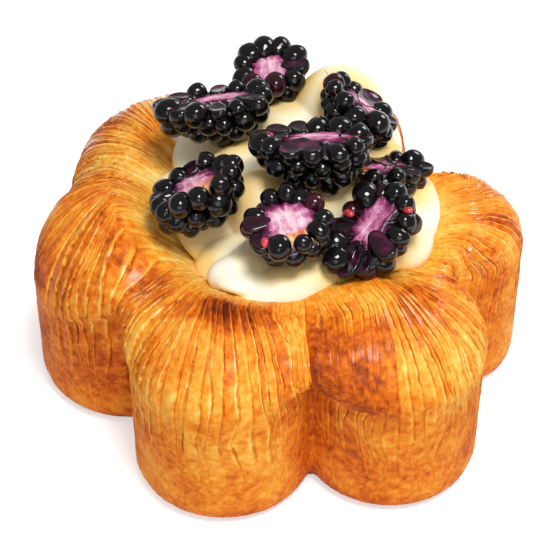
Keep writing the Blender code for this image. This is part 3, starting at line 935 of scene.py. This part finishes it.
def crust_material():
    nodes = Nodes("baked_crust")
    glaze, brown_and_shade, pale, lines = nodes.channels("zones")
    place = nodes.place()
    layers = nodes.add("ShaderNodeUVMap", uv_map="layers").outputs[0]
    split = nodes.add("ShaderNodeSeparateXYZ")
    nodes.link(layers, split.inputs[0])
    phase = nodes.times(split.outputs[0], 100.0)
    climb = nodes.times(split.outputs[1], 100.0)
    ragged = nodes.noise(place, 520.0, 3.0, 0.6)
    phase = nodes.plus(phase, nodes.between(ragged, 0.3, 0.7, -0.07, 0.07))
    share = nodes.math("FRACT", phase)
    layer = nodes.math("FLOOR", phase)
    random = nodes.add("ShaderNodeTexWhiteNoise", noise_dimensions="1D")
    nodes.link(layer, random.inputs["W"])
    layer_tone = random.outputs["Value"]
    along = nodes.add("ShaderNodeCombineXYZ")
    nodes.link(nodes.times(layer, 2.7), along.inputs[0])
    nodes.link(nodes.times(climb, 0.22), along.inputs[1])
    broken = nodes.noise(along.outputs[0], 1.0, 2.0)
    gap = nodes.math("SUBTRACT", 1.0, nodes.between(nodes.math("PINGPONG", share, 0.5), 0.01, 0.10))
    gap = nodes.times(gap, nodes.between(broken, 0.42, 0.60, 0.05, 1.0))
    gap = nodes.times(gap, lines)
    edge = nodes.times(nodes.between(share, 0.66, 0.84), nodes.between(share, 0.90, 0.98, 1.0, 0.0))
    edge = nodes.times(edge, nodes.between(broken, 0.50, 0.62, 1.0, 0.3))
    edge = nodes.times(edge, nodes.between(layer_tone, 0.1, 0.5, 0.3, 1.0))
    edge = nodes.times(edge, lines)

    stretched = nodes.add("ShaderNodeCombineXYZ")
    nodes.link(phase, stretched.inputs[0])
    nodes.link(nodes.times(climb, 0.35), stretched.inputs[1])
    fibre = nodes.noise(stretched.outputs[0], 1.6, 4.0, 0.65)
    mottle = nodes.noise(place, 110.0, 4.0, 0.6)
    speck = nodes.noise(place, 750.0, 3.0, 0.6)

    tone = nodes.plus(brown_and_shade, 0.45)
    tone = nodes.plus(tone, nodes.times(lines, nodes.between(layer_tone, 0.0, 1.0, -0.16, 0.16)))
    tone = nodes.plus(tone, nodes.between(fibre, 0.3, 0.7, -0.15, 0.15))
    tone = nodes.plus(tone, nodes.between(mottle, 0.3, 0.7, -0.15, 0.15))
    tone = nodes.plus(tone, nodes.between(speck, 0.3, 0.7, -0.09, 0.09))
    tone = nodes.math("SUBTRACT", tone, nodes.times(pale, 0.42))
    tone = nodes.math("SUBTRACT", tone, nodes.times(edge, 0.46))
    # painted shade: the gaps between the layers are darkened
    tone = nodes.plus(tone, nodes.times(gap, 0.14), clamp=True)
    colour = nodes.ramp(tone, (
        (0.00, srgb(254, 218, 128)),
        (0.20, srgb(252, 186, 72)),
        (0.42, srgb(242, 148, 38)),
        (0.60, srgb(222, 110, 18)),
        (0.78, srgb(174, 72, 8)),
        (1.00, srgb(98, 34, 5)),
    ))
    nodes.set("Base Color", colour)
    rough = nodes.math("SUBTRACT", 0.62, nodes.times(glaze, 0.24))
    rough = nodes.plus(rough, nodes.between(mottle, 0.3, 0.7, -0.06, 0.08))
    nodes.set("Roughness", rough)
    wet = nodes.between(nodes.noise(place, 170.0, 3.0), 0.40, 0.60, 0.1, 1.0)
    nodes.set("Coat Weight", nodes.times(glaze, wet))
    nodes.set("Coat Roughness", 0.12)
    nodes.set("Coat IOR", 1.4)
    nodes.set("Specular IOR Level", 0.15)
    nodes.subsurface(0.05, (1.0, 0.45, 0.15), 0.0012)
    pores = nodes.add("ShaderNodeTexVoronoi")
    nodes.link(place, pores.inputs["Vector"])
    pores.inputs["Scale"].default_value = 640.0
    pit = nodes.between(pores.outputs["Distance"], 0.08, 0.30, 0.0, 1.0)
    pit = nodes.times(pit, nodes.math("SUBTRACT", 0.6, nodes.times(glaze, 0.55)))
    height = nodes.plus(nodes.times(fibre, 0.7), nodes.times(edge, 0.5))
    height = nodes.math("SUBTRACT", height, gap)
    height = nodes.plus(height, nodes.times(pit, 0.35))
    height = nodes.plus(height, nodes.times(speck, 0.6))
    nodes.set("Normal", nodes.bump(height, 0.00045, 0.9))
    return nodes.material


def cream_material():
    nodes = Nodes("piped_cream")
    shade_near_berry, shade_near_crust, low, _ = nodes.channels("marks")
    place = nodes.place()
    soft = nodes.noise(place, 130.0, 3.0)
    # painted shade: the cream turns golden near the berries, near the crust and where it lies low
    colour = nodes.mix(nodes.times(shade_near_berry, 0.90), srgb(254, 248, 222), srgb(250, 204, 100))
    colour = nodes.mix(nodes.times(shade_near_crust, 0.85), colour, srgb(250, 206, 104))
    colour = nodes.mix(nodes.times(low, 0.45), colour, srgb(250, 210, 116))
    colour = nodes.mix(nodes.between(soft, 0.35, 0.65, 0.0, 0.15), colour, srgb(255, 250, 232))
    nodes.set("Base Color", colour)
    nodes.set("Roughness", nodes.between(soft, 0.3, 0.7, 0.40, 0.55))
    nodes.subsurface(0.2, (1.0, 0.7, 0.3), 0.003)
    fine = nodes.noise(place, 700.0, 2.0)
    nodes.set("Normal", nodes.bump(fine, 0.00008, 0.5))
    return nodes.material


def berry_skin_material():
    nodes = Nodes("berry_skin")
    tone, sliced, _, _ = nodes.channels("marks")
    place = nodes.place()
    cloud = nodes.noise(place, 300.0, 3.0)
    colour = nodes.mix(nodes.between(tone, 0.90, 1.0, 0.0, 0.8), srgb(12, 9, 11), srgb(64, 12, 28))
    colour = nodes.mix(nodes.between(cloud, 0.5, 0.75, 0.0, 0.4), colour, srgb(26, 14, 19))
    opened = nodes.ramp(cloud, ((0.36, srgb(18, 9, 14)), (0.54, srgb(44, 14, 32)), (0.70, srgb(104, 30, 68))))
    colour = nodes.mix(nodes.times(sliced, 0.9), colour, opened)
    nodes.set("Base Color", colour)
    nodes.set("Roughness", nodes.between(cloud, 0.35, 0.7, 0.05, 0.13))
    nodes.set("IOR", 1.45)
    uneven = nodes.noise(place, 420.0, 2.0)
    nodes.set("Normal", nodes.bump(uneven, 0.00045, 0.4))
    return nodes.material


def berry_flesh_material():
    nodes = Nodes("berry_flesh")
    inside, stem_end, pale, _ = nodes.channels("marks")
    grain = nodes.add("ShaderNodeAttribute", attribute_name="grain").outputs["Vector"]
    streak = nodes.noise(nodes.scaled(grain, (1.2, 5.0, 1.2)), 1.6, 4.0, 0.6)
    blotch = nodes.noise(grain, 5.0, 4.0, 0.6)
    dots = nodes.noise(grain, 26.0, 2.0, 0.5)
    depth = nodes.between(inside, 0.20, 0.56, 0.06, 1.0)
    depth = nodes.plus(depth, nodes.between(streak, 0.3, 0.7, -0.20, 0.20))
    depth = nodes.plus(depth, nodes.between(blotch, 0.3, 0.7, -0.14, 0.14))
    depth = nodes.plus(depth, 0.16)
    depth = nodes.plus(depth, nodes.between(dots, 0.58, 0.72, 0.0, 0.35))
    depth = nodes.plus(depth, nodes.times(nodes.math("SUBTRACT", 1.0, pale), 0.34))
    depth = nodes.times(depth, 0.6)
    colour = nodes.ramp(depth, (
        (0.06, srgb(240, 216, 216)), (0.22, srgb(222, 168, 190)), (0.38, srgb(182, 96, 138)),
        (0.52, srgb(124, 34, 84)), (0.66, srgb(60, 14, 44)), (0.80, srgb(20, 10, 16)),
    ))
    rust = nodes.ramp(blotch, (
        (0.38, srgb(196, 74, 18)), (0.50, srgb(234, 150, 66)), (0.62, srgb(240, 210, 140)),
    ))
    colour = nodes.mix(nodes.times(stem_end, 0.9), colour, rust)
    nodes.set("Base Color", colour)
    nodes.set("Roughness", nodes.between(inside, 0.2, 0.6, 0.34, 0.15))
    nodes.subsurface(0.12, (1.0, 0.3, 0.5), 0.001)
    height = nodes.plus(streak, nodes.times(blotch, 0.8))
    nodes.set("Normal", nodes.bump(height, 0.0004, 0.7))
    return nodes.material


def speckled_material(name, scale, dark, light, roughness, depth):
    nodes = Nodes(name)
    cloud = nodes.noise(nodes.place(), scale, 2.0)
    nodes.set("Base Color", nodes.ramp(cloud, ((0.35, srgb(*dark)), (0.6, srgb(*light)))))
    nodes.set("Roughness", roughness)
    if depth:
        nodes.set("Normal", nodes.bump(cloud, depth, 0.4))
    return nodes.material


# ==== stage
def build_stage():
    mesh = bpy.data.meshes.new("floor")
    size = 3.0
    corners = [(-size, -size, 0.0), (size, -size, 0.0), (size, size, 0.0), (-size, size, 0.0)]
    mesh.from_pydata(corners, [], [(0, 1, 2, 3)])
    floor = linked("floor", mesh)
    nodes = Nodes("floor")
    nodes.set("Base Color", (0.82, 0.82, 0.82, 1.0))
    nodes.set("Roughness", 0.9)
    nodes.set("Specular IOR Level", 0.0)
    nodes.set("Emission Color", (1.0, 1.0, 1.0, 1.0))
    path = nodes.add("ShaderNodeLightPath")
    seen = nodes.math("MAXIMUM", path.outputs["Is Camera Ray"], path.outputs["Is Glossy Ray"])
    nodes.set("Emission Strength", nodes.times(seen, FLOOR_GLOW))
    mesh.materials.append(nodes.material)

    world = bpy.data.worlds.new("studio")
    bpy.context.scene.world = world
    world.use_nodes = True
    tree = world.node_tree
    background = tree.nodes["Background"]
    background.inputs[0].default_value = (1.0, 1.0, 1.0, 1.0)
    path = tree.nodes.new("ShaderNodeLightPath")
    strength = tree.nodes.new("ShaderNodeMath")
    strength.operation = "MULTIPLY_ADD"
    tree.links.new(path.outputs["Is Camera Ray"], strength.inputs[0])
    strength.inputs[1].default_value = 1.0 - WORLD_LIGHT
    strength.inputs[2].default_value = WORLD_LIGHT
    tree.links.new(strength.outputs[0], background.inputs[1])


def add_lamp(name, azimuth, elevation, distance, size, power):
    """Square soft lamp aimed at the middle of the pastry."""
    data = bpy.data.lights.new(name, "AREA")
    data.shape = "SQUARE"
    data.size = size
    data.energy = power
    lamp = linked(name, data)
    flat = plan_direction(np.array(azimuth)) * math.cos(math.radians(elevation))
    place = Vector((flat[0], flat[1], math.sin(math.radians(elevation)))) * distance
    lamp.location = place + Vector((0.0, 0.0, 0.03))
    lamp.rotation_euler = (-place).to_track_quat("-Z", "Y").to_euler()


def build_camera():
    data = bpy.data.cameras.new("camera")
    data.lens = CAMERA_LENS
    data.sensor_width = 36.0
    data.shift_x, data.shift_y = CAMERA_SHIFT
    data.clip_start = 0.01
    camera = linked("camera", data)
    tilt = math.radians(CAMERA_ELEVATION)
    camera.location = (0.0, -CAMERA_DISTANCE * math.cos(tilt) * MM,
                       (CAMERA_TARGET + CAMERA_DISTANCE * math.sin(tilt)) * MM)
    camera.rotation_euler = (math.pi / 2.0 - tilt, 0.0, 0.0)
    bpy.context.scene.camera = camera


# ==== the scene
crust = build_crust(crust_material())
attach(crust, "root")
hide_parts("pastry")

cream = build_cream(cream_material())
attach(cream, "root")
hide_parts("cream")

berry_surfaces = [
    berry_skin_material(), berry_flesh_material(),
    speckled_material("berry_seed", 900.0, (150, 20, 34), (214, 66, 74), 0.22, 0.0002),
    speckled_material("dried_style", 1200.0, (120, 70, 30), (200, 140, 80), 0.5, 0.0),
]
for number, half in enumerate(BERRIES):
    piece = build_berry(half, number, berry_surfaces)
    piece.name = half.name.replace("berry_half", "berry_visual")
    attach(piece, "root")
    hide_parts(half.name)

build_stage()
add_lamp("key", 32.0, 72.0, 0.75, 0.24, 4.7)
add_lamp("front", 4.0, 34.0, 0.90, 0.50, 1.6)
add_lamp("rim", 142.0, 28.0, 0.90, 0.30, 2.4)
build_camera()
bpy.context.scene.view_settings.view_transform = "Standard"
